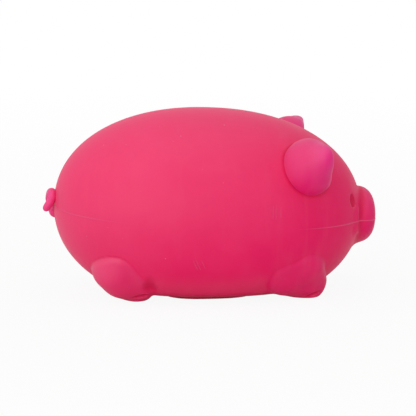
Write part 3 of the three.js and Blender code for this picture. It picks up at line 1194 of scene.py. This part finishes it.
class PIG_OT_scuffs(Operator):
    """Draw the pale strokes where the soft skin was rubbed"""

    bl_idname = "pig_toy.scuffs"
    bl_label = "Draw Scuffs"

    def execute(self, context):
        toy = context.scene.pig_toy
        finish = toy.finish
        slanted = scuff_strokes(toy, finish.slant_scuffs, math.radians(-20))
        upright = scuff_strokes(toy, finish.upright_scuffs, math.radians(4))
        points, thickness = (np.concatenate(pair) for pair in zip(slanted, upright))
        scuffs = skin_rod(
            "skin_scuffs", points, thickness, 6, finish.scuff, parts=2 * STROKES
        )
        set_numbers(scuffs.data, bead=np.full(len(scuffs.data.vertices), 0.32))
        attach(scuffs, "base")
        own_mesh(scuffs)
        return {"FINISHED"}


class PIG_OT_marks(Operator):
    """Strew the fine lint that clings to the soft skin"""

    bl_idname = "pig_toy.marks"
    bl_label = "Strew Lint"

    def execute(self, context):
        toy = context.scene.pig_toy
        skin = bpy.data.objects["moulded_skin"]
        carrier = placed("lint_carrier", skin.data.copy())
        dust = plain_material("clinging lint", toy.finish.lint, 0.9, 3000.0, 0.02 * MM)
        lint = baked(
            carrier, "lint_specks", strewn_tree(),
            density=float(toy.finish.specks), length=toy.finish.speck,
            seed=toy.finish.seed, material=dust,
        )
        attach(lint, "base")
        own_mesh(lint)
        return {"FINISHED"}


class PIG_OT_underside(Operator):
    """Finish the pad under the belly and the plug behind it"""

    bl_idname = "pig_toy.underside"
    bl_label = "Finish Underside"

    def execute(self, context):
        finish = context.scene.pig_toy.finish
        # painted shade: the pad's pink is darkened for the shade under the belly
        pad = plain_material("die-cut elastomer sheet", finish.shaded_pad_pink, 0.7, 900.0, 0.05 * MM, 0.08)
        plug = plain_material("moulded elastomer plug", finish.plug_pink, 0.55, 700.0, 0.04 * MM)
        for node, material in (("base_pad", pad), ("filling_plug", plug)):
            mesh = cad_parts[node].data
            mesh.materials.clear()
            mesh.materials.append(material)
        return {"FINISHED"}


class PIG_OT_studio(Operator):
    """Make the floor, the lamps and the camera"""

    bl_idname = "pig_toy.studio"
    bl_label = "Make Studio"

    def execute(self, context):
        studio = context.scene.pig_toy.studio
        egg = context.scene.pig_toy.egg
        focus = Vector((0, 0, egg.middle))
        make_floor()
        make_sky(context.scene, studio.sky)
        add_lamp("key_box", studio.key, 0.7, focus, (-0.7, -0.1, 1.0))
        add_lamp("fill_box", studio.fill, 0.6, focus, (-0.75, -0.95, 0.3))
        add_lamp("front_box", studio.front, 0.4, focus, (-0.1, -1.2, 0.2))
        add_lamp("top_box", studio.top, 0.7, focus, (0.0, -0.05, 1.2))
        back = Vector((
            math.sin(studio.azimuth) * math.cos(studio.elevation),
            -math.cos(studio.azimuth) * math.cos(studio.elevation),
            math.sin(studio.elevation),
        ))
        data = bpy.data.cameras.new("camera")
        data.lens = studio.lens
        data.sensor_width = 36
        data.clip_end = 20
        # the photograph's middle lies a little beside the egg's
        data.shift_x = 0.00101
        data.shift_y = -0.00192
        camera = placed("camera", data)
        camera.location = focus + back * studio.distance
        camera.rotation_mode = "QUATERNION"
        camera.rotation_quaternion = (-back).to_track_quat("-Z", "Y")
        context.scene.camera = camera
        context.scene.view_settings.view_transform = "Standard"
        return {"FINISHED"}


def make_floor():
    """A white sweep that shows white to the camera and keeps the toy's soft shadow."""
    side = 3.0
    corners = [(-side, -side, 0), (side, -side, 0), (side, side, 0), (-side, side, 0)]
    floor = mesh_object("floor", corners, [(0, 1, 2, 3)])
    material = bpy.data.materials.new("white paper sweep")
    tree = bare_tree(material)
    rays = add_node(tree, "ShaderNodeLightPath").outputs
    spot = add_node(tree, "ShaderNodeTexCoord").outputs["Object"]
    away = add_node(tree, "ShaderNodeVectorMath", {0: spot}, operation="LENGTH").outputs["Value"]
    # gloss under the belly sees the dark of the toy's own shadow
    open_floor = ranged(tree, away, 0.03, 0.09, 0.1, 1.0)
    glossy = maths(tree, "MULTIPLY", rays["Is Glossy Ray"], open_floor)
    sharp = maths(tree, "ADD", rays["Is Camera Ray"], glossy, use_clamp=True)
    direct = maths(tree, "ADD", sharp, rays["Is Transmission Ray"], use_clamp=True)
    # the shadow stays near the toy, and the sweep is plain white from half a metre on
    seen = maths(tree, "MULTIPLY", direct, ranged(tree, away, 0.08, 0.5, 0.92, 1.0))
    paper = add_node(tree, "ShaderNodeBsdfDiffuse", {"Color": (0.75, 0.75, 0.75, 1)})
    glow = add_node(tree, "ShaderNodeEmission", {"Strength": 1.0})
    mixed = add_node(
        tree, "ShaderNodeMixShader",
        {0: seen, 1: paper.outputs["BSDF"], 2: glow.outputs["Emission"]},
    )
    add_node(tree, "ShaderNodeOutputMaterial", {"Surface": mixed.outputs["Shader"]})
    floor.data.materials.append(material)


def make_sky(scene, strength):
    """An even light from all round, which the camera, gloss and glass see as white."""
    scene.world = bpy.data.worlds.new("studio")
    tree = bare_tree(scene.world)
    rays = add_node(tree, "ShaderNodeLightPath").outputs
    sharp = maths(tree, "MAXIMUM", rays["Is Camera Ray"], rays["Is Glossy Ray"])
    direct = maths(tree, "MAXIMUM", sharp, rays["Is Transmission Ray"])
    soft, white = (
        add_node(tree, "ShaderNodeBackground", {"Strength": level}).outputs["Background"]
        for level in (strength, 1.0)
    )
    mixed = add_node(tree, "ShaderNodeMixShader", {0: direct, 1: soft, 2: white})
    add_node(tree, "ShaderNodeOutputWorld", {"Surface": mixed.outputs["Shader"]})


def add_lamp(name, power, size, target, offset):
    """A square soft box at an offset from its target, turned to it."""
    data = bpy.data.lights.new(name, "AREA")
    data.energy = power
    data.size = size
    lamp = placed(name, data)
    lamp.location = target + Vector(offset)
    lamp.rotation_mode = "QUATERNION"
    lamp.rotation_quaternion = (-Vector(offset)).to_track_quat("-Z", "Y")


OPERATORS = (
    PIG_OT_studio,
    PIG_OT_skin,
    PIG_OT_filling,
    PIG_OT_parting_line,
    PIG_OT_ears,
    PIG_OT_tail,
    PIG_OT_scuffs,
    PIG_OT_marks,
    PIG_OT_underside,
)


class PIG_PT_panel(Panel):
    """Buttons for the toy's pieces, with its sizes and colours"""

    bl_idname = "PIG_PT_panel"
    bl_label = "Pig Squishy Toy"
    bl_space_type = "VIEW_3D"
    bl_region_type = "UI"
    bl_category = "Pig Toy"

    def draw(self, context):
        layout = self.layout
        for operator in OPERATORS:
            layout.operator(operator.bl_idname)
        toy = context.scene.pig_toy
        for group in (toy.egg, toy.legs, toy.face, toy.ears, toy.tail, toy.finish, toy.studio):
            box = layout.box()
            for key in group.__annotations__:
                box.prop(group, key, text=key.replace("_", " ").capitalize())


CLASSES = (
    EggSizes, LegSizes, FaceSizes, EarSizes, TailSizes, Finish, Studio, PigToy,
    *OPERATORS, PIG_PT_panel,
)


def register():
    for cls in CLASSES:
        bpy.utils.register_class(cls)
    bpy.types.Scene.pig_toy = PointerProperty(type=PigToy)


def unregister():
    del bpy.types.Scene.pig_toy
    for cls in reversed(CLASSES):
        bpy.utils.unregister_class(cls)


def main():
    register()
    bpy.ops.pig_toy.studio()
    bpy.ops.pig_toy.skin()
    bpy.ops.pig_toy.filling()
    bpy.ops.pig_toy.parting_line()
    bpy.ops.pig_toy.ears()
    bpy.ops.pig_toy.tail()
    bpy.ops.pig_toy.scuffs()
    bpy.ops.pig_toy.marks()
    bpy.ops.pig_toy.underside()


if __name__ == "__main__":
    main()
